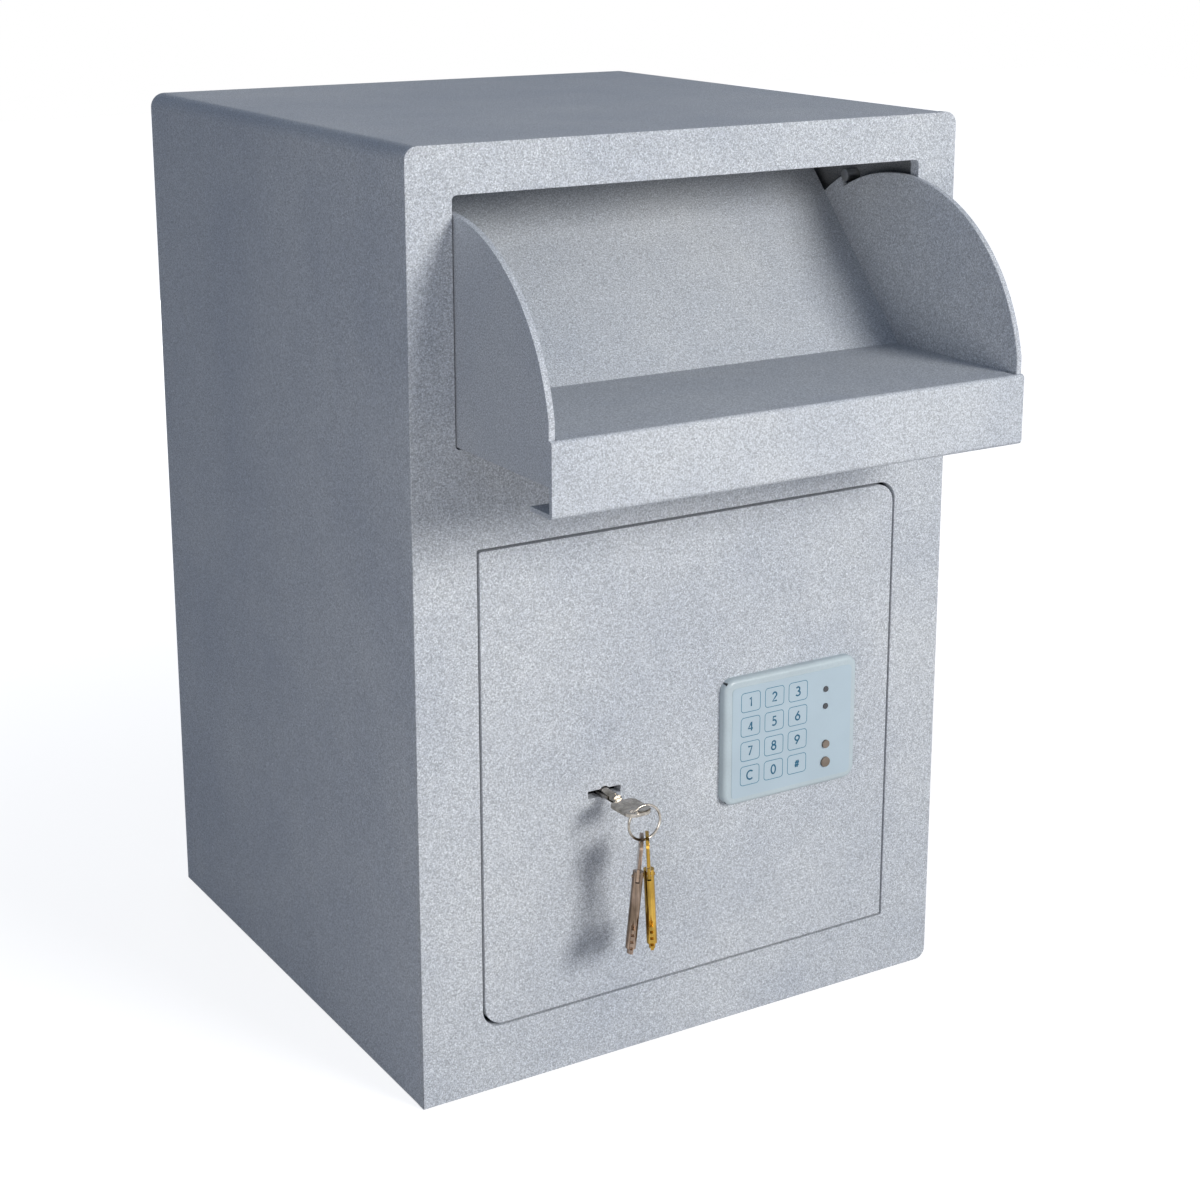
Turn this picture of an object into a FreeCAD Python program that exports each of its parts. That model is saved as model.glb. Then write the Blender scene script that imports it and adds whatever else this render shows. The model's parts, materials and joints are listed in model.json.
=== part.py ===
import FreeCAD, Part
import os
import re
import Sketcher
from FreeCAD import Placement, Rotation, Vector

# Drop safe with a tilting hopper above a flush, locked door.
# X points to the right of somebody facing the door, Y into the body and Z up.
# The origin is the centre of the body's footprint on the floor.

doc = FreeCAD.newDocument("drop_box")
sheet = doc.addObject("Spreadsheet::Sheet", "dims")

DRIVING = {
    # Body
    "body_width": 400, "body_depth": 400, "body_height": 600,
    "plate_thick": 8, "wrap_thick": 4, "back_thick": 4, "back_inset": 4,
    "wrap_radius": 10, "plate_radius": 8,
    "floor_hole_dia": 13, "floor_hole_span_x": 280, "floor_hole_span_y": 240,
    "wall_hole_dia": 11, "wall_hole_span": 240, "wall_hole_height": 480,
    # Hopper opening in the front plate
    "hop_side_margin": 30, "hop_sill": 421, "hop_head": 570.5, "hop_corner": 3,
    # Hopper
    "hop_side_gap": 0.8, "hop_side_thick": 4, "hop_sheet": 3, "hop_radius": 123.5,
    "pivot_set": 6.5, "hub_radius": 14.3, "sill_gap": 1.7, "lip_height": 44.5,
    "lip_reach": 124.5, "shelf_rise": 12, "shelf_back": 5, "ramp_lean": 42.5, "ramp_long": 150,
    "flange_depth": 24, "bend_radius": 2.8, "slit_width": 1.6, "slit_length": 9, "tilt_range": 90,
    "ear_high": 7, "ear_grip": 10, "ear_start": 118, "ear_end": 129.5, "weld_gap": 0.2,
    # Hopper housing, pivots and stops
    "house_setback": 5, "house_thick": 3, "house_back": 134, "house_low": 342, "house_high": 588,
    "baffle_gap": 5, "baffle_run": 122, "baffle_fall": 13.5, "baffle_thick": 3,
    "pivot_pin_dia": 8, "pivot_play": 0.06, "pivot_head_dia": 12, "pivot_head_thick": 3,
    "spacer_dia": 12, "spacer_play": 0.2, "clip_dia": 12, "clip_thick": 1.5,
    "stop_dia": 8, "stop_gap": 0.35, "stop_out": 6,
    # Door opening and door
    "door_left_margin": 42.8, "door_right_edge": 359.3, "door_sill": 43, "door_head": 358,
    "door_gap": 1.6, "door_corner": 13, "door_small_corner": 1.5,
    # Door hinges
    "hinge_inset": 60, "hinge_set": 3.5, "hinge_pin_dia": 6, "hinge_pin_proud": 1, "hinge_play": 0.08,
    "hinge_tab_thick": 6, "hinge_tab_wide": 20, "hinge_tab_deep": 16, "hinge_tab_gap": 8,
    "lug_wide": 16, "lug_deep": 13, "lug_inset": 10, "door_stop_size": 30, "door_stop_thick": 6,
    "door_stop_grip": 6, "door_stop_gap": 0.2,
    # Lock: key axis, bolts and their throw
    "key_from_left": 132, "key_height": 184.5, "bolt_throw": 18, "bolt_dia": 18, "bolt_length": 56,
    "bolt_inset": 5.6, "bolt_set": 14, "bolt_offset": 90, "bolt_play": 0.3, "bolt_hole_play": 4,
    "guide_wide": 12, "guide_tall": 30, "guide_deep": 30,
    "bar_thick": 6, "bar_front": 4, "bar_back": 37, "bar_extra": 14,
    "bolt_screw_dia": 8, "bolt_screw_head_dia": 13, "bolt_screw_head": 5, "bolt_screw_length": 22,
    "drive_thick": 4, "drive_tall": 48, "drive_reach": 40, "slot_long": 36, "slot_play": 1.0,
    "hard_thick": 3, "hard_side": 4, "case_deep": 24, "case_wide": 66, "case_tall": 60, "case_left": 16,
    "case_bore": 27,
    "cam_dia": 34, "cam_thick": 3, "cam_gap": 0.6, "crank_dia": 8, "dog_size": 4, "dog_tall": 3,
    "dog_out": 9, "drive_gap": 1,
    # Keyhole and keys
    "keyhole_long": 24, "keyhole_tall": 5, "keyhole_round": 8, "key_dia": 6.8, "key_out": 16,
    "key_tube": 51, "key_bit_long": 16, "key_bit_wide": 22, "key_bit_thick": 2.2, "key_tip_dia": 4.2,
    "key_tip_long": 3.5, "notch_depth": 3, "notch_width": 2, "notch_start": 3, "notch_pitch": 4.4,
    "notch_shift": 0.6,
    "bow_long": 24, "bow_wide": 19, "bow_thick": 2.2, "bow_fold": 3, "bow_hole_dia": 5.6,
    "bow_hole_x": -1.95,
    "bow_neck": 3.5, "bow_start": 3, "bow_tongue": 5, "tongue_gap": 0.5, "bow_far_round": 7,
    "bow_near_round": 4, "bow_pin_dia": 2, "bow_pin_proud": 0.4, "bow_slot_play": 0.2,
    "ring_radius": 11.5, "wire_dia": 1.7, "ring_drop": 8, "ring_out": 38,
    "spare_bow_long": 21, "spare_hole_dia": 6.4, "spare_hole_edge": 2.2, "spare_turn": 31,
    "spare_step": 11, "hang_gap": 0.35, "brass_lean": 3.1, "nickel_lean": 6.2,
    # Keypad on the door
    "pad_left": 219.7, "pad_wide": 107.5, "pad_low": 155.8, "pad_tall": 87.5, "pad_thick": 6,
    "pad_corner": 8.5, "pad_edge_round": 3.2, "pad_wall": 2, "pad_web": 0.8, "board_gap": 0.2,
    "part_play": 0.1,
    "film_left": 6, "film_right": 5, "film_low": 5, "film_high": 6, "film_thick": 0.8, "film_proud": 0.2,
    "film_corner": 3, "lamp_dia": 4, "lamp_x": 301, "lamp_high": 223.5, "lamp_step": 12,
    "lamp_proud": 0.5, "contact_x": 301.7, "contact_high": 184.5, "contact_step": 12.7,
    "contact_small": 5.6, "contact_large": 7, "contact_proud": 1.2, "board_thick": 1.6,
    "board_margin": 6, "cable_dia": 5, "cable_hole_dia": 10,
    # Inside of the door
    "cover_left": 64, "cover_right": 278, "cover_low": 62, "cover_high": 338, "cover_deep": 62,
    "cover_thick": 1.5, "cover_flange": 12, "cover_screw_dia": 4, "cover_screw_head": 8,
    "cover_screw_high": 2.2, "cover_screw_skin": 3, "cover_tap_skin": 2,
    "cable_in": 25, "unit_left": 205, "unit_wide": 64, "unit_low": 165, "unit_tall": 70, "unit_deep": 24,
    "battery_left": 182, "battery_wide": 88, "battery_low": 78, "battery_tall": 66, "battery_deep": 34,
    "coil_left": 124, "coil_wide": 30, "coil_low": 236, "coil_tall": 26, "coil_deep": 26,
    "plunger_dia": 7, "plunger_out": 12,
}

DERIVED = {
    "left_x": "-body_width / 2",
    "front_y": "-body_depth / 2",
    "behind_plate": "front_y + plate_thick",
    "back_y": "body_depth / 2",
    "hop_half": "body_width / 2 - hop_side_margin",
    "side_outer": "hop_half - hop_side_gap",
    "side_inner": "side_outer - hop_side_thick",
    "pivot_y": "behind_plate + pivot_set",
    "pivot_z": "hop_sill + sill_gap + hub_radius",
    "shelf_z": "pivot_z + shelf_rise",
    "lip_y": "pivot_y - lip_reach",
    "ear_reach": "hop_radius + ear_high",
    "ear_root": "hop_radius - ear_grip",
    "stop_radius": "hop_radius + stop_out",
    "house_inner": "hop_half + house_setback",
    "house_outer": "house_inner + house_thick",
    "door_open_left": "left_x + door_left_margin",
    "door_open_right": "left_x + door_right_edge",
    "door_left": "door_open_left + door_gap",
    "door_right": "door_open_right - door_gap",
    "door_low": "door_sill + door_gap",
    "door_high": "door_head - door_gap",
    "hinge_x": "door_right - hinge_inset",
    "hinge_y": "behind_plate + hinge_set",
    "key_x": "left_x + key_from_left",
    "bolt_y": "behind_plate + bolt_set",
    "bolt_tip": "door_left + bolt_inset",
    "bolt_end": "bolt_tip + bolt_length",
    "bar_face": "bolt_end + bar_thick",
    "case_front": "behind_plate + hard_thick",
    "case_back": "case_front + case_deep",
    "cam_front": "case_back + cam_gap",
    "cam_back": "cam_front + cam_thick",
    "drive_front": "cam_back + drive_gap",
    "key_end": "front_y - key_out",
    "pad_front": "front_y - pad_thick",
    "film_front": "pad_front - film_proud",
    "web_back": "pad_front + film_thick + pad_web",
    "board_front": "web_back + board_gap",
    "ring_inner": "ring_radius - wire_dia / 2",
    "ring_outer": "ring_radius + wire_dia / 2",
    "ring_over": "ring_drop + bow_thick / 2",
    "ring_under": "ring_drop - bow_thick / 2",
    "ring_leaves": "sqrt(ring_inner * ring_inner - ring_over * ring_over)",
    "ring_enters": "sqrt(ring_outer * ring_outer - ring_under * ring_under)",
    "ring_x": "key_x + bow_hole_x + (ring_leaves + ring_enters) / 2",
    "ring_y": "front_y - ring_out",
    "ring_z": "key_height - ring_drop",
    "cover_back": "behind_plate + cover_deep",
}

ALIASES = set(DRIVING) | set(DERIVED)
row = 1
for alias, value in list(DRIVING.items()) + [(name, "=" + rule) for name, rule in DERIVED.items()]:
    sheet.set("A%d" % row, alias)
    sheet.set("B%d" % row, str(value))
    sheet.setAlias("B%d" % row, alias)
    row += 1
reckoner = doc.addObject("Spreadsheet::Sheet", "reckoner")
doc.recompute()


def linked(rule):
    """The rule with its aliases pointing at the sheet."""
    return re.sub(r"[a-z_]+", lambda word: "dims." * (word.group(0) in ALIASES) + word.group(0), str(rule))


def size(rule):
    """Value of a rule written with the sheet's aliases."""
    reckoner.set("A1", "=" + linked(rule))
    reckoner.recompute()
    return float(reckoner.get("A1"))


def bind(target, prop, rule):
    target.setExpression(prop, linked(rule))


def place(target, x=0, y=0, z=0):
    for axis, rule in (("x", x), ("y", y), ("z", z)):
        bind(target, "Placement.Base." + axis, rule)
    return target


def box(name, x, y, z):
    """Box between two rules on each axis."""
    solid = doc.addObject("Part::Box", name)
    for prop, span in (("Length", x), ("Width", y), ("Height", z)):
        bind(solid, prop, "(%s) - (%s)" % (span[1], span[0]))
    return place(solid, x[0], y[0], z[0])


TURNS = {"x": Rotation(Vector(0, 1, 0), 90), "y": Rotation(Vector(1, 0, 0), -90), "z": Rotation()}


def rod(name, dia, axis, start, end, u, v):
    """Cylinder along an axis from start to end, centred at u and v on the other two axes."""
    solid = doc.addObject("Part::Cylinder", name)
    bind(solid, "Radius", "(%s) / 2" % dia)
    bind(solid, "Height", "(%s) - (%s)" % (end, start))
    solid.Placement = Placement(Vector(), TURNS[axis])
    spot = {"x": (start, u, v), "y": (u, start, v), "z": (u, v, start)}[axis]
    return place(solid, *spot)


def cut(name, base, *tools):
    """Base less every tool."""
    for count, tool in enumerate(tools):
        last = count == len(tools) - 1
        step = doc.addObject("Part::Cut", name if last else "%s_cut_%d" % (name, count))
        step.Base = base
        step.Tool = tool
        base = step
    return base


def fuse(name, *pieces):
    step = doc.addObject("Part::MultiFuse", name)
    step.Shapes = list(pieces)
    step.Refine = True
    return step


def common(name, first, second):
    step = doc.addObject("Part::Common", name)
    step.Base = first
    step.Tool = second
    return step


ROLES = {"xy": "XY_Plane", "xz": "XZ_Plane", "yz": "YZ_Plane"}


def outline(body, name, plane, corners, offset="0"):
    """Closed sketch of straight lines, each corner tied to the sheet in both directions."""
    sketch = body.newObject("Sketcher::SketchObject", name)
    origin = [item for item in body.Origin.OriginFeatures if item.Role == ROLES[plane]][0]
    sketch.AttachmentSupport = [(origin, "")]
    sketch.MapMode = "FlatFace"
    bind(sketch, "AttachmentOffset.Base.z", offset)
    spots = [Vector(size(u), size(v), 0) for u, v in corners]
    for count, spot in enumerate(spots):
        sketch.addGeometry(Part.LineSegment(spot, spots[(count + 1) % len(spots)]), False)
    for count, (u, v) in enumerate(corners):
        sketch.addConstraint(Sketcher.Constraint("Coincident", count, 2, (count + 1) % len(corners), 1))
        for kind, rule, value in (("DistanceX", u, spots[count].x), ("DistanceY", v, spots[count].y)):
            index = sketch.addConstraint(Sketcher.Constraint(kind, -1, 1, count, 1, value))
            bind(sketch, "Constraints[%d]" % index, rule)
    return sketch


def plate(name, plane, corners, span):
    """Flat piece with a straight-sided outline, between two rules on the axis across its plane."""
    body = doc.addObject("PartDesign::Body", name)
    low, high = span
    sketch = outline(body, name + "_outline", plane, corners, "-(%s)" % high if plane == "xz" else low)
    pad = body.newObject("PartDesign::Pad", name + "_pad")
    pad.Profile = sketch
    bind(pad, "Length", "(%s) - (%s)" % (high, low))
    doc.recompute()
    return body


def window(body, name, plane, corners):
    """Opening cut right through a body."""
    sketch = outline(body, name + "_outline", plane, corners)
    pocket = body.newObject("PartDesign::Pocket", name)
    pocket.Profile = sketch
    pocket.Type = "ThroughAll"
    pocket.Midplane = True
    doc.recompute()
    return body


def fillet_edges(body, name, radius, wanted):
    """Fillet on those edges of a body that a test accepts."""
    base = body.Tip
    picked = ["Edge%d" % (count + 1) for count, edge in enumerate(base.Shape.Edges) if wanted(edge.BoundBox)]
    fillet = body.newObject("PartDesign::Fillet", name)
    fillet.Base = (base, picked)
    bind(fillet, "Radius", radius)
    doc.recompute()
    return body


def soften(body, radius, axis, spots):
    """Round the edges that run along an axis through the given spots."""
    across = [index for index in range(3) if "xyz"[index] != axis]
    targets = [(size(u), size(v)) for u, v in spots]

    def wanted(bounds):
        lengths = (bounds.XLength, bounds.YLength, bounds.ZLength)
        if max(lengths[index] for index in across) > 0.01:
            return False
        middle = [bounds.Center[index] for index in across]
        return any(abs(middle[0] - u) < 0.02 and abs(middle[1] - v) < 0.02 for u, v in targets)

    return fillet_edges(body, "%s_round_%d" % (body.Name, len(body.Group)), radius, wanted)


def round_front(body, radius, level):
    """Round every edge of a body's front face."""
    front = size(level)
    return fillet_edges(body, body.Name + "_front_round", radius,
                        lambda bounds: bounds.YLength < 0.01 and abs(bounds.Center.y - front) < 0.01)


def rect(x0, x1, z0, z1):
    return [(x0, z0), (x1, z0), (x1, z1), (x0, z1)]


def mirrored(side, inner, outer):
    """Span on the right as given, on the left as its mirror image."""
    return (inner, outer) if side == "right" else ("-(%s)" % outer, "-(%s)" % inner)


def polar(radius, angle):
    """Point about the hopper's pivot, its angle measured up from straight out of the front."""
    return "pivot_y - (%s) * cos(%s)" % (radius, angle), "pivot_z + (%s) * sin(%s)" % (radius, angle)


NODES = {}


def keep(name, solid):
    solid.Label = name
    NODES[name] = solid
    return solid


def make_shell():
    outer = rect("left_x", "-left_x", "0", "body_height")
    front = plate("front_sheet", "xz", outer, ("front_y", "behind_plate"))
    soften(front, "plate_radius", "y", outer[1:])
    hopper = rect("-hop_half", "hop_half", "hop_sill", "hop_head")
    window(front, "hopper_opening", "xz", hopper)
    soften(front, "hop_corner", "y", hopper)
    door = rect("door_open_left", "door_open_right", "door_sill", "door_head")
    window(front, "door_opening", "xz", door)
    soften(front, "door_corner", "y", [door[0], door[2]])
    soften(front, "door_small_corner", "y", [door[1], door[3]])
    keep("front_plate", front)

    wrap = plate("wrapper_sheet", "xz", outer, ("behind_plate", "back_y"))
    soften(wrap, "wrap_radius", "y", outer[1:])
    inner = rect("left_x + wrap_thick", "-left_x - wrap_thick", "wrap_thick", "body_height - wrap_thick")
    window(wrap, "wrapper_inside", "xz", inner)
    soften(wrap, "wrap_radius - wrap_thick", "y", inner[1:])
    holes = []
    for count, (sx, sy) in enumerate(((-1, -1), (1, -1), (1, 1), (-1, 1))):
        holes.append(rod("floor_hole_%d" % count, "floor_hole_dia", "z", "-wrap_thick", "2 * wrap_thick",
                         "%d * floor_hole_span_x / 2" % sx, "%d * floor_hole_span_y / 2" % sy))
    keep("body_wrapper", cut("wrapper_drilled", wrap, *holes))

    edge = "(wrap_thick + weld_gap)"
    corners = rect("left_x + " + edge, "-left_x - " + edge, edge, "body_height - " + edge)
    span = ("back_y - back_inset - back_thick", "back_y - back_inset")
    back = plate("back_sheet", "xz", corners, span)
    soften(back, "wrap_radius - wrap_thick", "y", corners[1:])
    holes = []
    for count, sx in enumerate((-1, 1)):
        holes.append(rod("wall_hole_%d" % count, "wall_hole_dia", "y", span[0] + " - 1", span[1] + " + 1",
                         "%d * wall_hole_span / 2" % sx, "wall_hole_height"))
    keep("back_plate", cut("back_drilled", back, *holes))


def make_hopper_housing():
    offset = "asin((stop_dia / 2 + stop_gap) / stop_radius) / 1 deg"
    stops = {"open": "ear_start - " + offset, "closed": "ear_end + tilt_range + " + offset}
    for side in ("left", "right"):
        sheet_span = mirrored(side, "house_inner", "house_outer")
        wall = box("house_sheet_" + side, sheet_span, ("behind_plate", "front_y + house_back"),
                   ("house_low", "house_high"))
        bore = rod("house_bore_" + side, "(pivot_pin_dia + pivot_play)", "x", *mirrored(
            side, "house_inner - 1", "house_outer + 1"), "pivot_y", "pivot_z")
        keep("housing_side_" + side, cut("house_wall_" + side, wall, bore))

        shank = rod("pin_shank_" + side, "pivot_pin_dia", "x", *mirrored(
            side, "side_inner - 2 * clip_thick", "house_outer"), "pivot_y", "pivot_z")
        head = rod("pin_head_" + side, "pivot_head_dia", "x", *mirrored(
            side, "house_outer", "house_outer + pivot_head_thick"), "pivot_y", "pivot_z")
        keep("pivot_pin_" + side, fuse("pin_whole_" + side, shank, head))

        rings = (
            ("pivot_spacer_", "spacer_dia", ("side_outer + spacer_play", "house_inner - spacer_play")),
            ("pivot_clip_", "clip_dia", ("side_inner - clip_thick - spacer_play", "side_inner - spacer_play")),
        )
        for label, dia, span in rings:
            disc = rod(label + "disc_" + side, dia, "x", *mirrored(side, *span), "pivot_y", "pivot_z")
            hole = rod(label + "hole_" + side, "(pivot_pin_dia + pivot_play)", "x", *mirrored(
                side, span[0] + " - 1", span[1] + " + 1"), "pivot_y", "pivot_z")
            keep(label + side, cut(label + "ring_" + side, disc, hole))

        for state, angle in stops.items():
            stop = rod("stop_rod_%s_%s" % (state, side), "stop_dia", "x", *mirrored(
                side, "side_inner", "house_inner"), *polar("stop_radius", angle))
            keep("stop_pin_%s_%s" % (state, side), stop)

    under = "hop_head + baffle_gap"
    bend = "behind_plate + baffle_run"
    profile = [
        ("behind_plate", under),
        (bend, under),
        (bend, under + " - baffle_fall"),
        (bend + " + baffle_thick", under + " - baffle_fall"),
        (bend + " + baffle_thick", under + " + baffle_thick"),
        ("behind_plate", under + " + baffle_thick"),
    ]
    keep("housing_baffle", plate("baffle_sheet", "yz", profile, ("-house_inner", "house_inner")))


def make_hopper():
    low = "pivot_z - hub_radius"
    front = "lip_y + hop_sheet"
    fan = [(front, low), ("pivot_y", low), ("pivot_y", "pivot_z"), polar("2 * hop_radius", "ear_end"),
           (front, "pivot_z + 2 * hop_radius")]
    ear = [polar("ear_root", "ear_start"), polar("ear_root", "ear_end"),
           polar("2 * ear_reach", "ear_end"), polar("2 * ear_reach", "ear_start")]
    for side in ("left", "right"):
        span = mirrored(side, "side_inner", "side_outer")
        disc = rod("side_disc_" + side, "(2 * hop_radius)", "x", *span, "pivot_y", "pivot_z")
        main = common("side_main_" + side, plate("side_fan_" + side, "yz", fan, span), disc)
        hub = rod("side_hub_" + side, "(2 * hub_radius)", "x", *span, "pivot_y", "pivot_z")
        ring = rod("side_ear_disc_" + side, "(2 * ear_reach)", "x", *span, "pivot_y", "pivot_z")
        tab = common("side_ear_" + side, plate("side_ear_fan_" + side, "yz", ear, span), ring)
        bore = rod("side_bore_" + side, "(pivot_pin_dia + 2 * pivot_play)", "x", *mirrored(
            side, "side_inner - 1", "side_outer + 1"), "pivot_y", "pivot_z")
        whole = fuse("side_whole_" + side, main, hub, tab)
        keep("hopper_side_" + side, cut("side_drilled_" + side, whole, bore))

    top = "shelf_z"
    foot = "shelf_z - lip_height"
    lip_outline = [
        ("lip_y", top), ("lip_y", foot), ("lip_y + flange_depth", foot),
        ("lip_y + flange_depth", foot + " + hop_sheet"), (front, foot + " + hop_sheet"), (front, top),
    ]
    lip = plate("lip_sheet", "yz", lip_outline, ("-side_outer", "side_outer"))
    soften(lip, "bend_radius", "x", lip_outline[:2])
    corner = "pivot_y - shelf_back"
    fall = "(90 - ramp_lean) / 2"
    end_y = corner + " + ramp_long * sin(ramp_lean)"
    end_z = top + " + ramp_long * cos(ramp_lean)"
    shelf_outline = [
        (front, top), (front, top + " - hop_sheet"),
        (corner + " + hop_sheet * tan(%s)" % fall, top + " - hop_sheet"),
        (end_y + " + hop_sheet * cos(ramp_lean)", end_z + " - hop_sheet * sin(ramp_lean)"),
        (end_y, end_z), (corner, top),
    ]
    shelf = plate("shelf_sheet", "yz", shelf_outline, ("-side_inner", "side_inner"))
    whole = fuse("tray_whole", lip, shelf)
    slits = []
    slit_z = (top + " - 2 * hop_sheet", top + " + hop_sheet")
    for side in ("left", "right"):
        slits.append(box("slit_" + side, mirrored(side, "side_inner - slit_width", "side_inner"),
                         (front, front + " + slit_length"), slit_z))
    keep("hopper_tray", cut("tray_slit", whole, *slits))


def make_hinges():
    places = {
        "upper": ("door_head + hinge_tab_gap", "door_high - lug_inset - hinge_tab_thick"),
        "lower": ("door_sill - hinge_tab_gap - hinge_tab_thick", "door_low + lug_inset"),
    }
    for level, (tab_low, lug_low) in places.items():
        pin_low, pin_high = (lug_low, tab_low) if level == "upper" else (tab_low, lug_low)
        pin = rod("hinge_rod_" + level, "hinge_pin_dia", "z", pin_low + " - hinge_pin_proud",
                  pin_high + " + hinge_tab_thick + hinge_pin_proud", "hinge_x", "hinge_y")
        keep("hinge_pin_" + level, pin)
        for label, low, wide, deep, play in (
                ("hinge_bracket_", tab_low, "hinge_tab_wide", "hinge_tab_deep", "hinge_play / 2"),
                ("hinge_lug_", lug_low, "lug_wide", "lug_deep", "2 * hinge_play")):
            tab = box(label + "tab_" + level, ("hinge_x - %s / 2" % wide, "hinge_x + %s / 2" % wide),
                      ("behind_plate", "behind_plate + " + deep), (low, low + " + hinge_tab_thick"))
            hole = rod(label + "hole_" + level, "(hinge_pin_dia + %s)" % play, "z", low + " - 1",
                       low + " + hinge_tab_thick + 1", "hinge_x", "hinge_y")
            keep(label + level, cut(label + "drilled_" + level, tab, hole))


def make_door_stop():
    height = ("key_height - door_stop_size / 2", "key_height + door_stop_size / 2")
    back = "behind_plate + door_stop_thick"
    root = box("stop_root", ("door_open_left - door_stop_size / 2", "door_open_left"),
               ("behind_plate", back), height)
    grip = box("stop_grip", ("door_open_left", "door_left + door_stop_grip"),
               ("behind_plate + door_stop_gap", back), height)
    keep("door_stop", fuse("stop_whole", root, grip))


def cover_screw_spots():
    middle = "left_x + (cover_left + cover_right) / 2"
    return [(middle, "cover_low - cover_flange / 2"), (middle, "cover_high + cover_flange / 2")]


def make_door():
    corners = rect("door_left", "door_right", "door_low", "door_high")
    sheet_body = plate("door_sheet", "xz", corners, ("front_y", "behind_plate"))
    soften(sheet_body, "door_corner", "y", [corners[0], corners[2]])
    soften(sheet_body, "door_small_corner", "y", [corners[1], corners[3]])
    through = ("front_y - 1", "behind_plate + 1")
    tools = [
        box("keyhole_slot", ("key_x - keyhole_long / 2", "key_x + keyhole_long / 2"), through,
            ("key_height - keyhole_tall / 2", "key_height + keyhole_tall / 2")),
        rod("keyhole_round", "keyhole_round", "y", *through, "key_x", "key_height"),
        rod("cable_hole", "cable_hole_dia", "y", *through, "left_x + pad_left + cable_in",
            "pad_low + pad_tall / 2"),
    ]
    for count, (x, z) in enumerate(cover_screw_spots()):
        tools.append(rod("cover_tap_%d" % count, "(cover_screw_dia + part_play)", "y",
                         "front_y + cover_tap_skin", "behind_plate + 1", x, z))
    keep("door_plate", cut("door_drilled", sheet_body, *tools))


def make_cover():
    x = ("left_x + cover_left", "left_x + cover_right")
    z = ("cover_low", "cover_high")
    skin = "cover_thick"
    outer = box("cover_outer", x, ("behind_plate", "cover_back"), z)
    inner = box("cover_inner", (x[0] + " + " + skin, x[1] + " - " + skin),
                ("behind_plate - 1", "cover_back - " + skin), (z[0] + " + " + skin, z[1] + " - " + skin))
    rims = []
    for count, (low, high) in enumerate((("cover_low - cover_flange", "cover_low"),
                                         ("cover_high", "cover_high + cover_flange"))):
        rims.append(box("cover_rim_%d" % count, x, ("behind_plate", "behind_plate + cover_thick"),
                        (low, high)))
    holes = []
    for count, (sx, sz) in enumerate(cover_screw_spots()):
        holes.append(rod("cover_hole_%d" % count, "(cover_screw_dia + part_play)", "y", "behind_plate - 1",
                         "behind_plate + 2 * cover_thick", sx, sz))
        head = rod("screw_head_%d" % count, "cover_screw_head", "y", "behind_plate + cover_thick",
                   "behind_plate + cover_thick + cover_screw_high", sx, sz)
        shank = rod("screw_shank_%d" % count, "cover_screw_dia", "y", "front_y + cover_screw_skin",
                    "behind_plate + cover_thick", sx, sz)
        keep("cover_screw_%d" % (count + 1), fuse("screw_whole_%d" % count, head, shank))
    for level, sign in (("upper", "+"), ("lower", "-")):
        holes.append(rod("cover_bolt_hole_" + level, "(bolt_dia + bolt_hole_play)", "x", x[0] + " - 1",
                         x[0] + " + 2 * cover_thick", "bolt_y", "key_height %s bolt_offset" % sign))
    whole = fuse("cover_whole", cut("cover_pan", outer, inner), *rims)
    keep("door_cover", cut("cover_drilled", whole, *holes))


def make_bolts():
    bar_x = ("bolt_end", "bolt_end + bar_thick")
    bar = box("bar_blank", bar_x, ("behind_plate + bar_front", "behind_plate + bar_back"),
              ("key_height - bolt_offset - bar_extra", "key_height + bolt_offset + bar_extra"))
    taps = []
    for level, sign in (("upper", "+"), ("lower", "-")):
        z = "key_height %s bolt_offset" % sign
        bore = "(bolt_screw_dia + part_play)"
        shaft = rod("bolt_rod_" + level, "bolt_dia", "x", "bolt_tip", "bolt_end", "bolt_y", z)
        tap = rod("bolt_tap_" + level, bore, "x", "bolt_end - bolt_screw_length", "bolt_end + 1",
                  "bolt_y", z)
        keep("bolt_" + level, cut("bolt_tapped_" + level, shaft, tap))
        shank = rod("bolt_shank_" + level, "bolt_screw_dia", "x", "bar_face - bolt_screw_length", "bar_face",
                    "bolt_y", z)
        head = rod("bolt_head_" + level, "bolt_screw_head_dia", "x", "bar_face",
                   "bar_face + bolt_screw_head", "bolt_y", z)
        keep("bolt_screw_" + level, fuse("bolt_screw_whole_" + level, shank, head))
        taps.append(rod("bar_tap_" + level, bore, "x", "bolt_end - 1", "bar_face + 1", "bolt_y", z))
        block = box("guide_block_" + level, ("bolt_tip", "bolt_tip + guide_wide"),
                    ("behind_plate", "behind_plate + guide_deep"),
                    (z + " - guide_tall / 2", z + " + guide_tall / 2"))
        way = rod("guide_way_" + level, "(bolt_dia + 2 * bolt_play)", "x", "bolt_tip - 1",
                  "bolt_tip + guide_wide + 1", "bolt_y", z)
        keep("bolt_guide_" + level, cut("guide_bored_" + level, block, way))
    keep("bolt_bar", cut("bar_tapped", bar, *taps))

    drive_z = ("key_height - drive_tall / 2", "key_height + drive_tall / 2")
    blank = box("drive_blank", ("bar_face", "bar_face + drive_reach"),
                ("drive_front", "drive_front + drive_thick"), drive_z)
    half = "(crank_dia + slot_play) / 2"
    slot = box("drive_slot", ("key_x + bolt_throw / 2 - " + half, "key_x + bolt_throw / 2 + " + half),
               ("drive_front - 1", "drive_front + drive_thick + 1"),
               ("key_height - slot_long / 2", "key_height + slot_long / 2"))
    keep("drive_plate", cut("drive_slotted", blank, slot))


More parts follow.
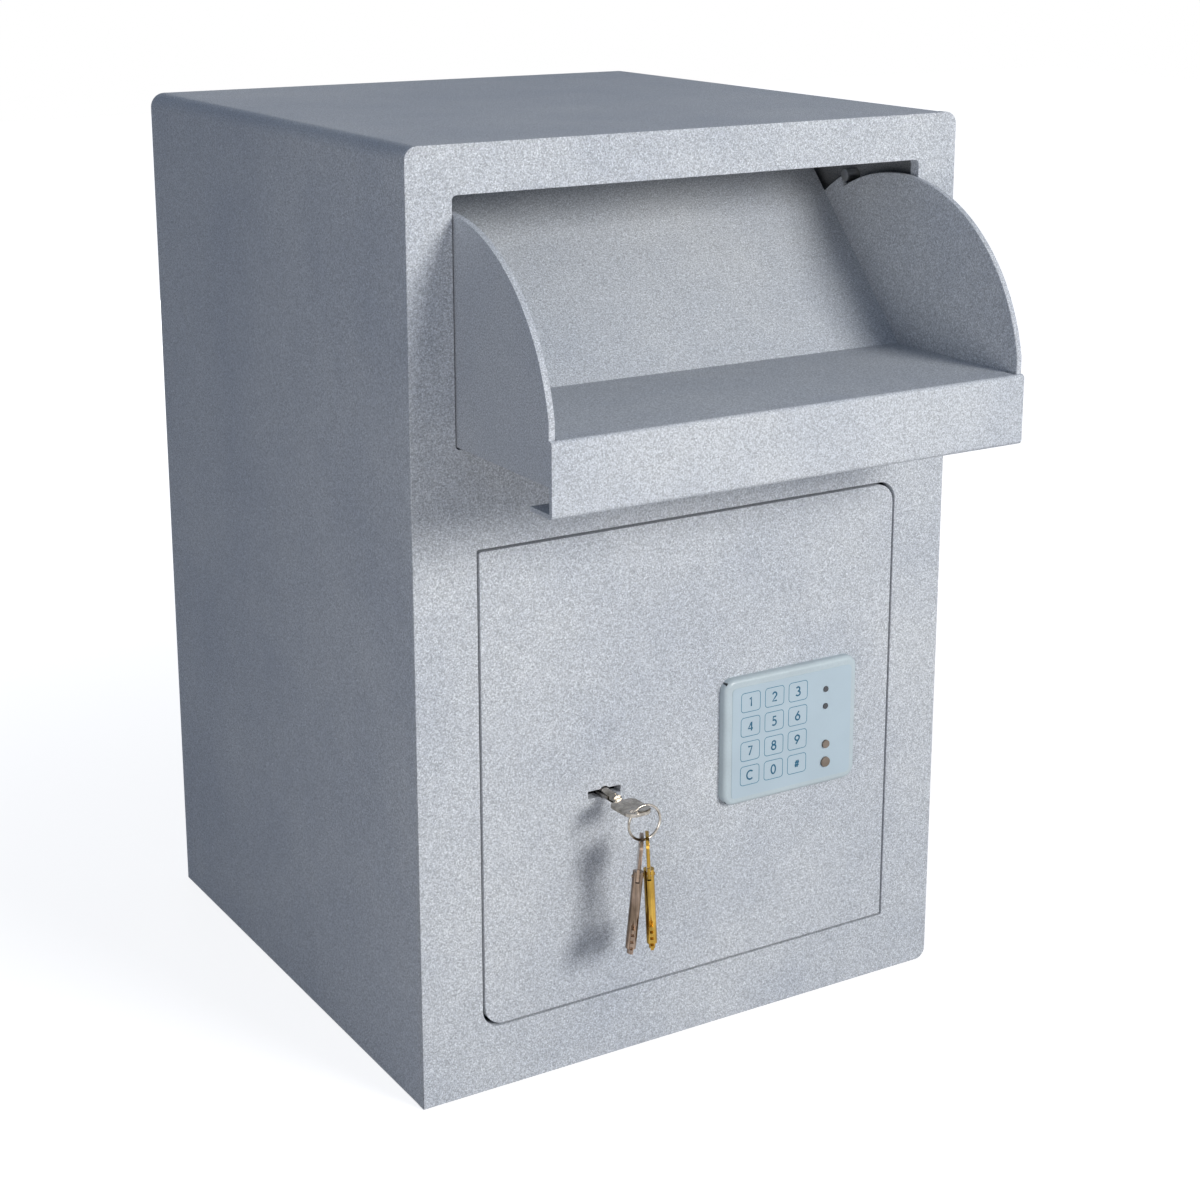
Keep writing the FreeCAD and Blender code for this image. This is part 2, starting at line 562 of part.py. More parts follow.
def make_lock():
    case_x = ("key_x - case_left", "key_x - case_left + case_wide")
    case_z = ("key_height - case_tall / 2", "key_height + case_tall / 2")
    case = box("case_blank", case_x, ("case_front", "case_back"), case_z)
    hard = box("hard_blank", (case_x[0] + " - hard_side", case_x[1] + " + hard_side"),
               ("behind_plate", "case_front"), (case_z[0] + " - hard_side", case_z[1] + " + hard_side"))
    for name, blank in (("lock_case", case), ("hard_plate", hard)):
        bore = rod(name + "_bore", "case_bore", "y", "behind_plate - 1", "case_back + 1",
                   "key_x", "key_height")
        keep(name, cut(name + "_bored", blank, bore))

    disc = rod("cam_disc", "cam_dia", "y", "cam_front", "cam_back", "key_x", "key_height")
    crank = rod("cam_crank", "crank_dia", "y", "cam_back", "drive_front + drive_thick + 1",
                "key_x + bolt_throw / 2", "key_height + bolt_throw / 2")
    dogs = []
    for count, (sx, sz) in enumerate(((-1, -1), (1, -1), (1, 1), (-1, 1))):
        x = "key_x %+d * dog_out" % sx
        near = "key_bit_thick / 2 + part_play"
        far = near + " + dog_tall"
        span = (near, far) if sz > 0 else ("-(%s)" % far, "-(%s)" % near)
        dogs.append(box("cam_dog_%d" % count, (x + " - dog_size / 2", x + " + dog_size / 2"),
                        ("cam_front - dog_tall", "cam_front"),
                        ("key_height + (%s)" % span[0], "key_height + (%s)" % span[1])))
    socket = rod("cam_socket", "(key_tip_dia + part_play)", "y", "cam_front - 1", "cam_back + 1", "key_x",
                 "key_height")
    keep("lock_cam", cut("cam_bored", fuse("cam_whole", disc, crank, *dogs), socket))


def key_blank(prefix):
    """Round shaft along +Y from the origin, with two bits at its end and the bow's fork at its start."""
    shaft = rod(prefix + "_tube", "key_dia", "y", "0", "key_tube", "0", "0")
    tip = rod(prefix + "_tip", "key_tip_dia", "y", "key_tube", "key_tube + key_tip_long", "0", "0")
    bits = box(prefix + "_bits", ("-key_bit_wide / 2", "key_bit_wide / 2"),
               ("key_tube - key_bit_long", "key_tube"), ("-key_bit_thick / 2", "key_bit_thick / 2"))
    notches = []
    for side in (-1, 1):
        for count in range(3):
            start = "key_tube - key_bit_long + notch_start"
            start += " + %d * notch_pitch + %d * notch_shift" % (count, side)
            edge = ("key_bit_wide / 2 - notch_depth", "key_bit_wide") if side > 0 else (
                "-key_bit_wide", "-key_bit_wide / 2 + notch_depth")
            notches.append(box("%s_notch_%d_%d" % (prefix, side + 1, count), edge,
                               (start, start + " + notch_width"), ("-key_bit_thick", "key_bit_thick")))
    fork = box(prefix + "_fork", ("-key_dia", "key_dia"), ("-1", "2 * bow_neck"),
               ("-bow_thick / 2 - bow_slot_play", "bow_thick / 2 + bow_slot_play"))
    rivet = rod(prefix + "_rivet", "bow_pin_dia", "z", "-key_dia / 2 - bow_pin_proud",
                "key_dia / 2 + bow_pin_proud", "0", "bow_neck")
    whole = fuse(prefix + "_whole", shaft, tip, cut(prefix + "_notched", bits, *notches))
    return fuse(prefix + "_shaft", cut(prefix + "_forked", whole, fork), rivet)


def bow_blank(prefix, length):
    """Flat bow in the XY plane that points along -Y from its rivet at the origin."""
    half = "bow_wide / 2"
    start = "-bow_neck - bow_start"
    corners = [("-" + half, start + " - (%s)" % length), (half, start + " - (%s)" % length), (half, start),
               ("-" + half, start)]
    face = plate(prefix + "_face", "xy", corners, ("-bow_thick / 2", "bow_thick / 2"))
    soften(face, "bow_far_round", "z", corners[:2])
    soften(face, "bow_near_round", "z", corners[2:])
    tongue = box(prefix + "_tongue", ("-bow_tongue / 2", "bow_tongue / 2"),
                 (start + " - 1", "bow_neck - tongue_gap"), ("-bow_thick / 2", "bow_thick / 2"))
    hole = rod(prefix + "_rivet_way", "(bow_pin_dia + part_play)", "z", "-key_dia", "key_dia", "0", "0")
    return cut(prefix + "_riveted", fuse(prefix + "_flat", face, tongue), hole)


def make_key():
    shaft = key_blank("key")
    place(shaft, "key_x", "key_end", "key_height")
    keep("key_shaft", shaft)
    bow = bow_blank("bow", "bow_long")
    bow.Placement = Placement(Vector(), Rotation(Vector(0, 0, 1), size("bow_fold")))
    bind(bow, "Placement.Rotation.Angle", "bow_fold")
    place(bow, "key_x", "key_end + bow_neck", "key_height")
    hole = rod("bow_ring_hole", "bow_hole_dia", "z", "key_height - bow_thick", "key_height + bow_thick",
               "key_x + bow_hole_x", "ring_y")
    keep("key_bow", cut("bow_holed", bow, hole))
    ring = doc.addObject("Part::Torus", "ring_wire")
    bind(ring, "Radius1", "ring_radius")
    bind(ring, "Radius2", "wire_dia / 2")
    ring.Placement = Placement(Vector(), TURNS["y"])
    keep("key_ring", place(ring, "ring_x", "ring_y", "ring_z"))


def make_spare_keys():
    """Two more keys that hang edge-on from the bottom of the ring, splayed apart."""
    hole_y = "spare_hole_dia / 2 + spare_hole_edge - spare_bow_long - bow_start"
    wire_y = "spare_hole_edge + wire_dia / 2 + hang_gap - spare_bow_long - bow_start"
    for metal, side, lean in (("nickel", -1, "nickel_lean"), ("brass", 1, "-brass_lean")):
        bow = bow_blank("spare_bow_" + metal, "spare_bow_long")
        place(bow, "0", "bow_neck", "0")
        hole = rod("spare_ring_hole_" + metal, "spare_hole_dia", "z", "-bow_thick", "bow_thick", "0", hole_y)
        pieces = {
            "shaft": key_blank("spare_" + metal),
            "bow": cut("spare_bow_holed_" + metal, bow, hole),
        }
        upright = Rotation(Vector(1, 0, 0), -90)
        edge_on = Rotation(Vector(0, 0, 1), 90 - size("spare_turn"))
        turn = Rotation(Vector(0, 1, 0), size(lean)) * edge_on * upright
        spot = Vector(size("ring_x + %d * ring_radius * sin(spare_step)" % side), size("ring_y"),
                      size("ring_z - ring_radius * cos(spare_step)"))
        hung = Placement(spot - turn.multVec(Vector(0, size(wire_y), 0)), turn)
        for label, solid in pieces.items():
            solid.Placement = hung
            keep("spare_%s_%s" % (metal, label), solid)


def make_keypad():
    left, right = "left_x + pad_left", "left_x + pad_left + pad_wide"
    low, high = "pad_low", "pad_low + pad_tall"
    corners = rect(left, right, low, high)
    shell = plate("pad_shell", "xz", corners, ("pad_front", "front_y"))
    soften(shell, "pad_corner", "y", corners)
    round_front(shell, "pad_edge_round", "pad_front")
    film_x = (left + " + film_left", right + " - film_right")
    film_z = (low + " + film_low", high + " - film_high")
    film_corners = rect(*film_x, *film_z)
    film = plate("film_sheet", "xz", film_corners, ("film_front", "film_front + film_thick"))
    soften(film, "film_corner", "y", film_corners)
    recess = plate("film_recess", "xz", film_corners, ("pad_front - 1", "film_front + film_thick"))
    soften(recess, "film_corner", "y", film_corners)
    cavity = box("board_cavity", (left + " + pad_wall", right + " - pad_wall"), ("web_back", "front_y + 1"),
                 (low + " + pad_wall", high + " - pad_wall"))
    window_holes = []
    film_holes = []
    parts = (
        ("status_lamp_upper", "lamp_dia", "left_x + lamp_x", "lamp_high", "lamp_proud"),
        ("status_lamp_lower", "lamp_dia", "left_x + lamp_x", "lamp_high - lamp_step", "lamp_proud"),
        ("power_contact_small", "contact_small", "left_x + contact_x", "contact_high", "contact_proud"),
        ("power_contact_large", "contact_large", "left_x + contact_x", "contact_high - contact_step",
         "contact_proud"),
    )
    for name, dia, x, z, proud in parts:
        keep(name, rod(name + "_rod", dia, "y", "film_front - " + proud, "board_front", x, z))
        for holes, label in ((window_holes, "_web_hole"), (film_holes, "_film_hole")):
            holes.append(rod(name + label, "(%s + part_play)" % dia, "y", "film_front - 1",
                             "board_front", x, z))
    keep("keypad_housing", cut("pad_cut", shell, recess, cavity, *window_holes))
    keep("keypad_membrane", cut("film_cut", film, *film_holes))
    board = box("board_blank", (left + " + board_margin", right + " - board_margin"),
                ("board_front", "board_front + board_thick"),
                (low + " + board_margin", high + " - board_margin"))
    keep("keypad_board", board)
    cable = rod("cable_core", "cable_dia", "y", "board_front + board_thick", "behind_plate",
                left + " + cable_in", low + " + pad_tall / 2")
    keep("keypad_cable", cable)


def make_electronics():
    for name, prefix in (("lock_controller", "unit"), ("battery_box", "battery"), ("lock_solenoid", "coil")):
        start = "left_x + %s_left" % prefix
        keep(name, box(name + "_case", (start, start + " + %s_wide" % prefix),
                       ("behind_plate", "behind_plate + %s_deep" % prefix),
                       ("%s_low" % prefix, "%s_low + %s_tall" % (prefix, prefix))))
    plunger = rod("plunger_rod", "plunger_dia", "z", "coil_low - plunger_out", "coil_low",
                  "left_x + coil_left + coil_wide / 2", "behind_plate + coil_deep / 2")
    keep("solenoid_plunger", plunger)


def check_and_write():
    doc.recompute()
    for item in doc.Objects:
        if "Invalid" in item.State or "Error" in item.State:
            raise RuntimeError("%s did not build: %s" % (item.Name, item.State))
    os.makedirs("parts", exist_ok=True)
    for name, solid in NODES.items():
        shape = solid.Shape
        if shape.isNull() or not shape.isValid() or shape.Volume <= 0:
            raise RuntimeError("%s has no sound shape" % name)
        shape.exportStep("parts/%s.step" % name)
        print("%-24s solids %d  volume %.1f" % (name, len(shape.Solids), shape.Volume))


make_shell()
make_hopper_housing()
make_hopper()
make_hinges()
make_door_stop()
make_door()
make_cover()
make_bolts()
make_lock()
make_key()
make_spare_keys()
make_keypad()
make_electronics()
check_and_write()
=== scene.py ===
import json
import math
import bpy
import bmesh
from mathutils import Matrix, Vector


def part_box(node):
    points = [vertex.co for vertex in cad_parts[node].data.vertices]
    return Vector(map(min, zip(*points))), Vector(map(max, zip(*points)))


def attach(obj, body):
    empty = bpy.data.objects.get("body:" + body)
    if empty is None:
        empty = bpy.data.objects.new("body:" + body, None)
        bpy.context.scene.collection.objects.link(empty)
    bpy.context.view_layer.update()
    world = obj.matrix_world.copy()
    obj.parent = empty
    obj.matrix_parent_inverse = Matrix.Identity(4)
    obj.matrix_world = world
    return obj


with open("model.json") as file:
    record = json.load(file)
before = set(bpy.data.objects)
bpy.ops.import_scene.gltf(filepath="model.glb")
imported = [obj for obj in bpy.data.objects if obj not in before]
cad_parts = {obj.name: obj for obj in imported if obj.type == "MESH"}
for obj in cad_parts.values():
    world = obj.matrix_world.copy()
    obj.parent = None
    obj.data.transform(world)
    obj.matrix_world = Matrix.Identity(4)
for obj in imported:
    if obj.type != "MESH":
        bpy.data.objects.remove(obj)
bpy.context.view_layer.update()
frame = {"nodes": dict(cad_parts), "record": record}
nodes = frame["nodes"]
MM = 0.001


class Shader:
    """A material's node tree with short calls to add and join nodes."""

    def __init__(self, name):
        self.mat = bpy.data.materials.new(name)
        self.mat.use_nodes = True
        self.tree = self.mat.node_tree
        self.tree.nodes.clear()
        self.out = self.add("ShaderNodeOutputMaterial")
        self.bsdf = self.add("ShaderNodeBsdfPrincipled")
        self.join(self.bsdf, "BSDF", self.out, "Surface")
        self.place = self.add("ShaderNodeTexCoord")

    def add(self, kind, **values):
        node = self.tree.nodes.new(kind)
        for key, value in values.items():
            setattr(node, key, value)
        return node

    def join(self, a, out, b, into):
        self.tree.links.new(a.outputs[out], b.inputs[into])

    def set(self, **values):
        for key, value in values.items():
            self.bsdf.inputs[key.replace("_", " ")].default_value = value

    def stretched(self, stretch):
        if stretch == (1, 1, 1):
            return self.place, "Object"
        mapping = self.add("ShaderNodeMapping")
        mapping.inputs["Scale"].default_value = stretch
        self.join(self.place, "Object", mapping, "Vector")
        return mapping, "Vector"

    def noise(self, scale, detail=2.0, rough=0.5, stretch=(1, 1, 1)):
        node = self.add("ShaderNodeTexNoise")
        node.inputs["Scale"].default_value = scale
        node.inputs["Detail"].default_value = detail
        node.inputs["Roughness"].default_value = rough
        source, socket = self.stretched(stretch)
        self.join(source, socket, node, "Vector")
        return node

    def ramp(self, node, stops, socket="Fac"):
        ramp = self.add("ShaderNodeValToRGB")
        while len(ramp.color_ramp.elements) < len(stops):
            ramp.color_ramp.elements.new(0.5)
        for element, (at, colour) in zip(ramp.color_ramp.elements, stops):
            element.position = at
            element.color = (*colour, 1.0)
        self.join(node, socket, ramp, "Fac")
        return ramp

    def grey(self, node, low, high):
        return self.ramp(node, ((0.3, (low,) * 3), (0.7, (high,) * 3)))

    def times(self, a, b, socket="Color"):
        """Multiplies two colours; the first may be the Result of another product."""
        mix = self.add("ShaderNodeMix", data_type="RGBA", blend_type="MULTIPLY")
        mix.inputs["Factor"].default_value = 1.0
        self.join(a, socket, mix, "A")
        self.join(b, "Color", mix, "B")
        return mix

    def bump(self, node, strength, distance, under=None):
        bump = self.add("ShaderNodeBump")
        bump.inputs["Strength"].default_value = strength
        bump.inputs["Distance"].default_value = distance
        self.join(node, "Fac", bump, "Height")
        if under is not None:
            self.join(under, "Normal", bump, "Normal")
        return bump


# Noise scales of the powder coat. None puts a whole number of cells between the origin
# and the body's sides or top, because the noise fades on such a plane.
GRAIN, FLAKES, DRIFT = 1063, 1613, 9
GRAIN_DARK, GRAIN_LIGHT = 0.74, 1.20
PAINT_GLOSS = 0.06


def painted(name, tint):
    """Silver powder coat: a sandy speckle of light flakes over a slightly mottled ground,
    with a fine raised grain."""
    s = Shader(name)
    grain = s.noise(GRAIN, 2.0, 0.6)
    flakes = s.noise(FLAKES, 1.0, 0.5)
    drift = s.noise(DRIFT, 4.0, 0.6)
    dark, light = [c * GRAIN_DARK for c in tint], [min(1, c * GRAIN_LIGHT) for c in tint]
    ground = s.ramp(grain, ((0.37, dark), (0.50, tint), (0.63, light)))
    sparkle = s.ramp(flakes, ((0.34, (0.76, 0.77, 0.80)), (0.55, (1, 1, 1)),
                              (0.67, (1.22, 1.22, 1.22))))
    tone = s.ramp(drift, ((0.3, (0.88, 0.895, 0.93)), (0.7, (1.04, 1.035, 1.03))))
    colour = s.times(s.times(ground, sparkle), tone, "Result")
    s.join(colour, "Result", s.bsdf, "Base Color")
    s.join(s.grey(grain, 0.48, 0.72), "Color", s.bsdf, "Roughness")
    fine = s.bump(flakes, 0.25, 0.0002)
    s.join(s.bump(grain, 0.4, 0.0003, under=fine), "Normal", s.bsdf, "Normal")
    s.set(Specular_IOR_Level=PAINT_GLOSS)
    return s.mat


def metal(name, tint, rough, stretch=(1, 1, 1), scale=900, wear=0.10, streak=0.25):
    """Bare or plated metal with fine drawn or rolled marks and a faint tarnish;
    a strong streak darkens the marks into stripes of painted reflection.
    """
    s = Shader(name)
    marks = s.noise(scale, 3.0, 0.6, stretch)
    stain = s.noise(60, 3.0, 0.6)
    ground = s.ramp(marks, ((0.3, [c * (1 - streak) for c in tint]), (0.7, tint)))
    tarnish = s.ramp(stain, ((0.35, (1 - wear, 1 - wear * 1.05, 1 - wear * 1.2)), (0.6, (1, 1, 1))))
    s.join(s.times(ground, tarnish), "Result", s.bsdf, "Base Color")
    s.join(s.grey(marks, rough * 0.8, rough * 1.3), "Color", s.bsdf, "Roughness")
    s.join(s.bump(marks, 0.15, 0.0001), "Normal", s.bsdf, "Normal")
    s.set(Metallic=1.0)
    return s.mat


def zinc(name):
    """Zinc plating: small grey crystals with a faint blue and yellow cast."""
    s = Shader(name)
    cells = s.add("ShaderNodeTexVoronoi")
    cells.inputs["Scale"].default_value = 160
    s.join(s.place, "Object", cells, "Vector")
    cloud = s.noise(45, 3.0, 0.6)
    fine = s.noise(1400, 2.0, 0.5)
    ground = s.ramp(cells, ((0.0, (0.50, 0.51, 0.52)), (1.0, (0.62, 0.63, 0.64))), "Color")
    cast = s.ramp(cloud, ((0.35, (0.90, 0.94, 1.0)), (0.65, (1.0, 0.98, 0.92))))
    s.join(s.times(ground, cast), "Result", s.bsdf, "Base Color")
    s.join(s.grey(cloud, 0.30, 0.46), "Color", s.bsdf, "Roughness")
    s.join(s.bump(fine, 0.12, 0.0001), "Normal", s.bsdf, "Normal")
    s.set(Metallic=1.0)
    return s.mat


def moulded(name, tint, rough, grain=900, depth=0.0001, strength=0.15, coat=0.0, vary=0.06):
    """Moulded plastic, rubber or film with a fine texture."""
    s = Shader(name)
    fine = s.noise(grain, 2.0, 0.5)
    cloud = s.noise(40, 2.0, 0.5)
    ground = s.ramp(cloud, ((0.35, [c * (1 - vary) for c in tint]), (0.65, tint)))
    dots = s.grey(fine, 1 - vary, 1.0)
    s.join(s.times(ground, dots), "Result", s.bsdf, "Base Color")
    s.join(s.grey(fine, rough * 0.85, rough * 1.15), "Color", s.bsdf, "Roughness")
    s.join(s.bump(fine, strength, depth), "Normal", s.bsdf, "Normal")
    s.set(Coat_Weight=coat, Coat_Roughness=0.12)
    return s.mat


PAINT = (0.585, 0.605, 0.625)
# How much the powder coat inside the housing is darkened, as painted shade.
PAINTED_SHADE_FACTOR = 0.42
# Strong marks stretched this way are stripes of painted reflection on the brass and the spare
# nickel key.
BLADE_STRIPES = (1, 1, 0.04)  # stretches a metal's marks along a key's blade
MATERIALS = {
    "body_paint": painted("silver_powder_coat", PAINT),
    "zinc_steel": zinc("zinc_plate"),
    "bright_steel": metal("turned_steel", (0.62, 0.63, 0.65), 0.25),
    "dark_steel": metal("oiled_black_steel", (0.13, 0.13, 0.14), 0.42, scale=500),
    # The brass's strong dark stripes along the blade are painted reflections over its fine drawn
    # marks.
    "brass": metal("polished_brass", (0.70, 0.44, 0.09), 0.20, BLADE_STRIPES, 520, 0.30, 0.62),
    "keypad_shell": moulded("keypad_shell", (0.50, 0.58, 0.61), 0.38, 700, coat=0.2),
    "keypad_film": moulded("keypad_film", (0.46, 0.56, 0.62), 0.42, 1600, coat=0.10, vary=0.04),
    "lamp_lens": moulded("smoked_lens", (0.02, 0.022, 0.03), 0.12, 300, coat=0.6),
    "contact_metal": metal("tarnished_contact", (0.24, 0.20, 0.17), 0.42, scale=1600, wear=0.3),
    "board_green": moulded("solder_mask", (0.03, 0.16, 0.08), 0.35, 1200, coat=0.3),
    "cable_jacket": moulded("cable_jacket", (0.03, 0.03, 0.032), 0.55, 900),
    "black_plastic": moulded("black_plastic", (0.045, 0.045, 0.05), 0.5, 1100),
}

# The housing's inner sides and baffle wear the body's powder coat darkened as painted shade, where
# the inside of the box lies in shadow.
PARTS_PAINTED_IN_SHADE = ("housing_side_left", "housing_side_right", "housing_baffle")
PAINTED_SHADE_COAT = painted("powder_coat_painted_shade", [c * PAINTED_SHADE_FACTOR for c in PAINT])
# The nickel keys by the start of their parts' names: the spare one has a little more
# tarnish, and its brown tint and strong dark stripes are painted reflection.
KEY_METAL = {
    "spare_nickel": metal("worn_nickel_painted_reflection", (0.44, 0.33, 0.26), 0.22, BLADE_STRIPES, 520, 0.35, 0.65),
    "key_": metal("bright_nickel", (0.60, 0.56, 0.51), 0.17, (1, 1, 1), 330, 0.30, 0.50),
}


def dress(obj, material):
    obj.data.materials.clear()
    obj.data.materials.append(material)


slot_of = {sub["node"]: sub["material_slot"] for sub in frame["record"]["subparts"]}


def finish_of(name):
    if name in PARTS_PAINTED_IN_SHADE:
        return PAINTED_SHADE_COAT
    for start, plating in KEY_METAL.items():
        if name.startswith(start):
            return plating
    return MATERIALS[slot_of[name]]


for name, obj in nodes.items():
    for held in obj.material_slots:
        held.material = finish_of(name)


def link(obj):
    bpy.context.scene.collection.objects.link(obj)
    return obj


def rounding_tree(name, low, high, angle):
    """A node group that marks for rounding the sharp edges between two depths in Y,
    and keeps the others crisp."""
    tree = bpy.data.node_groups.new(name, "GeometryNodeTree")
    for way in ("INPUT", "OUTPUT"):
        tree.interface.new_socket("Geometry", in_out=way, socket_type="NodeSocketGeometry")

    def add(kind, **values):
        node = tree.nodes.new(kind)
        for key, value in values.items():
            setattr(node, key, value)
        return node

    start, stop = add("NodeGroupInput"), add("NodeGroupOutput")
    shade = add("GeometryNodeSetShadeSmooth")
    store = add("GeometryNodeStoreNamedAttribute", data_type="FLOAT", domain="EDGE")
    store.inputs["Name"].default_value = "bevel_weight_edge"
    fold = add("GeometryNodeInputMeshEdgeAngle")
    sharp = add("FunctionNodeCompare", data_type="FLOAT", operation="GREATER_THAN")
    sharp.inputs["B"].default_value = math.radians(angle)
    spot = add("GeometryNodeInputPosition")
    split = add("ShaderNodeSeparateXYZ")
    above = add("FunctionNodeCompare", data_type="FLOAT", operation="GREATER_THAN")
    above.inputs["B"].default_value = low
    below = add("FunctionNodeCompare", data_type="FLOAT", operation="LESS_THAN")
    below.inputs["B"].default_value = high
    within = add("FunctionNodeBooleanMath", operation="AND")
    both = add("FunctionNodeBooleanMath", operation="AND")
    crisp = add("FunctionNodeBooleanMath", operation="NIMPLY")
    split_shade = add("GeometryNodeSetShadeSmooth", domain="EDGE")
    split_shade.inputs["Shade Smooth"].default_value = False
    join = tree.links.new
    join(start.outputs[0], shade.inputs[0])
    join(shade.outputs[0], store.inputs[0])
    join(fold.outputs["Unsigned Angle"], sharp.inputs["A"])
    join(spot.outputs[0], split.inputs[0])
    join(split.outputs["Y"], above.inputs["A"])
    join(split.outputs["Y"], below.inputs["A"])
    join(above.outputs[0], within.inputs[0])
    join(below.outputs[0], within.inputs[1])
    join(within.outputs[0], both.inputs[0])
    join(sharp.outputs[0], both.inputs[1])
    join(both.outputs[0], store.inputs["Value"])
    join(sharp.outputs[0], crisp.inputs[0])
    join(within.outputs[0], crisp.inputs[1])
    join(store.outputs[0], split_shade.inputs[0])
    join(crisp.outputs[0], split_shade.inputs["Selection"])
    join(split_shade.outputs[0], stop.inputs[0])
    return tree


WELD_REACH = 0.002 * MM
FLAT_ANGLE, SHARP_ANGLE = 0.4, 28
EDGE_STEPS = 2
FACE_PULL = 60


def soften(name, width, low=-1.0, high=1.0, angle=SHARP_ANGLE):
    """Rounds a part's sharp edges so that they catch the light;
    a width of 0 only smooths its shading."""
    obj = nodes[name]
    weld = obj.modifiers.new("weld", "WELD")
    weld.merge_threshold = WELD_REACH
    flat = obj.modifiers.new("flat", "DECIMATE")
    flat.decimate_type = "DISSOLVE"
    flat.angle_limit = math.radians(FLAT_ANGLE)
    shade = obj.modifiers.new("shade", "NODES")
    shade.node_group = rounding_tree("rounding_" + name, low, high, angle)
    if width:
        edge = obj.modifiers.new("edge", "BEVEL")
        edge.width = width
        edge.segments = EDGE_STEPS
        edge.limit_method = "WEIGHT"
        edge.use_clamp_overlap = True
    weigh = obj.modifiers.new("weigh", "WEIGHTED_NORMAL")
    weigh.weight = FACE_PULL
    weigh.keep_sharp = True


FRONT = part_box("front_plate")[0].y
ROUNDED = {  # millimetres
    "back_plate": 0.5, "hopper_side_left": 0.6, "hopper_side_right": 0.6, "hopper_tray": 0.4,
    "door_plate": 0.5, "door_cover": 0.3, "door_stop": 0.4,
    "housing_side_left": 0.4, "housing_side_right": 0.4, "housing_baffle": 0.4,
    "key_bow": 0.35, "spare_nickel_bow": 0.35, "spare_brass_bow": 0.35,
    "battery_box": 1.2, "lock_controller": 1.2, "lock_case": 0.6, "hard_plate": 0.4,
    "bolt_bar": 0.6, "drive_plate": 0.4, "bolt_guide_upper": 0.5, "bolt_guide_lower": 0.5,
    "lock_solenoid": 0.6, "bolt_upper": 0.8, "bolt_lower": 0.8,
}
# The front plate is rounded at its face only, and the wrapper at its rear half only,
# so that the two meet in a crisp line.
soften("front_plate", 0.8 * MM, -1, FRONT + 0.5 * MM)
soften("body_wrapper", 0.7 * MM, 0, 1)
for name, width in ROUNDED.items():
    soften(name, width * MM)


def stroke_curve(name, lines, radius, flat, body, material):
    """Thin raised lines on the film: each line is a list of (x, z) points and may be closed."""
    curve = bpy.data.curves.new(name, "CURVE")
    curve.dimensions = "3D"
    curve.bevel_depth = radius
    curve.bevel_resolution = 2
    curve.use_fill_caps = True
    for points, closed in lines:
        spline = curve.splines.new("POLY")
        spline.points.add(len(points) - 1)
        for target, (x, z) in zip(spline.points, points):
            target.co = (x, 0, z, 1)
        spline.use_cyclic_u = closed
    obj = link(bpy.data.objects.new(name, curve))
    obj.scale = (1, flat, 1)
    obj.location = (0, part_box("keypad_membrane")[0].y, 0)
    curve.materials.append(material)
    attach(obj, body)


def arc(cx, cz, rx, rz, start, stop, steps=20):
    turn = [math.radians(start + (stop - start) * i / steps) for i in range(steps + 1)]
    return [(cx + rx * math.cos(t), cz + rz * math.sin(t)) for t in turn]


# Each sign's strokes as (points, closed), in units of its height from its lower left corner.
GLYPHS = {
    "0": [(arc(0.30, 0.5, 0.27, 0.48, 0, 342), True)],
    "1": [([(0.16, 0.80), (0.36, 0.98), (0.36, 0.02)], False)],
    "2": [(arc(0.30, 0.72, 0.25, 0.25, 170, -30) + [(0.04, 0.03), (0.57, 0.03)], False)],
    "3": [(arc(0.27, 0.745, 0.22, 0.225, 150, -90) + arc(0.27, 0.27, 0.28, 0.25, 90, -150),
           False)],
    "4": [([(0.44, 0.02), (0.44, 0.97)], False),
          ([(0.42, 0.93), (0.03, 0.27), (0.60, 0.27)], False)],
    "5": [([(0.52, 0.97), (0.18, 0.97), (0.13, 0.57)] + arc(0.27, 0.32, 0.28, 0.29, 115, -140),
           False)],
    "6": [([(0.44, 0.98), (0.07, 0.42)], False), (arc(0.30, 0.30, 0.27, 0.28, 0, 342), True)],
    "7": [([(0.04, 0.97), (0.55, 0.97), (0.20, 0.02)], False)],
    "8": [(arc(0.30, 0.755, 0.21, 0.215, 0, 342), True),
          (arc(0.30, 0.27, 0.27, 0.26, 0, 342), True)],
    "9": [([(0.16, 0.02), (0.53, 0.58)], False), (arc(0.30, 0.70, 0.27, 0.28, 0, 342), True)],
    "C": [(arc(0.36, 0.5, 0.42, 0.48, 48, 312), False)],
    "#": [([(0.14, 0.12), (0.28, 0.88)], False), ([(0.36, 0.12), (0.50, 0.88)], False),
          ([(0.04, 0.36), (0.56, 0.36)], False), ([(0.08, 0.64), (0.60, 0.64)], False)],
}
KEY_ROWS = ("123", "456", "789", "C0#")
KEY_WIDE, KEY_TALL = 15.0 * MM, 13.2 * MM
KEY_STEP_X, KEY_STEP_Z = 19.05 * MM, 17.0 * MM
KEY_MARGIN_X, KEY_MARGIN_Z = 7.0 * MM, 4.5 * MM
KEY_ROUND = 2.2 * MM
GLYPH_TALL = 6.3 * MM
GLYPH_SLIM = 0.6  # a sign's width as a share of its height
FRAME_LINE, FRAME_FLAT = 0.23 * MM, 0.3
SIGN_LINE, SIGN_FLAT = 0.56 * MM, 0.2
INK_FRAME = moulded("frame_ink", (0.035, 0.19, 0.30), 0.5, 1500)
INK_SIGN = moulded("sign_ink", (0.002, 0.105, 0.19), 0.45, 1500)


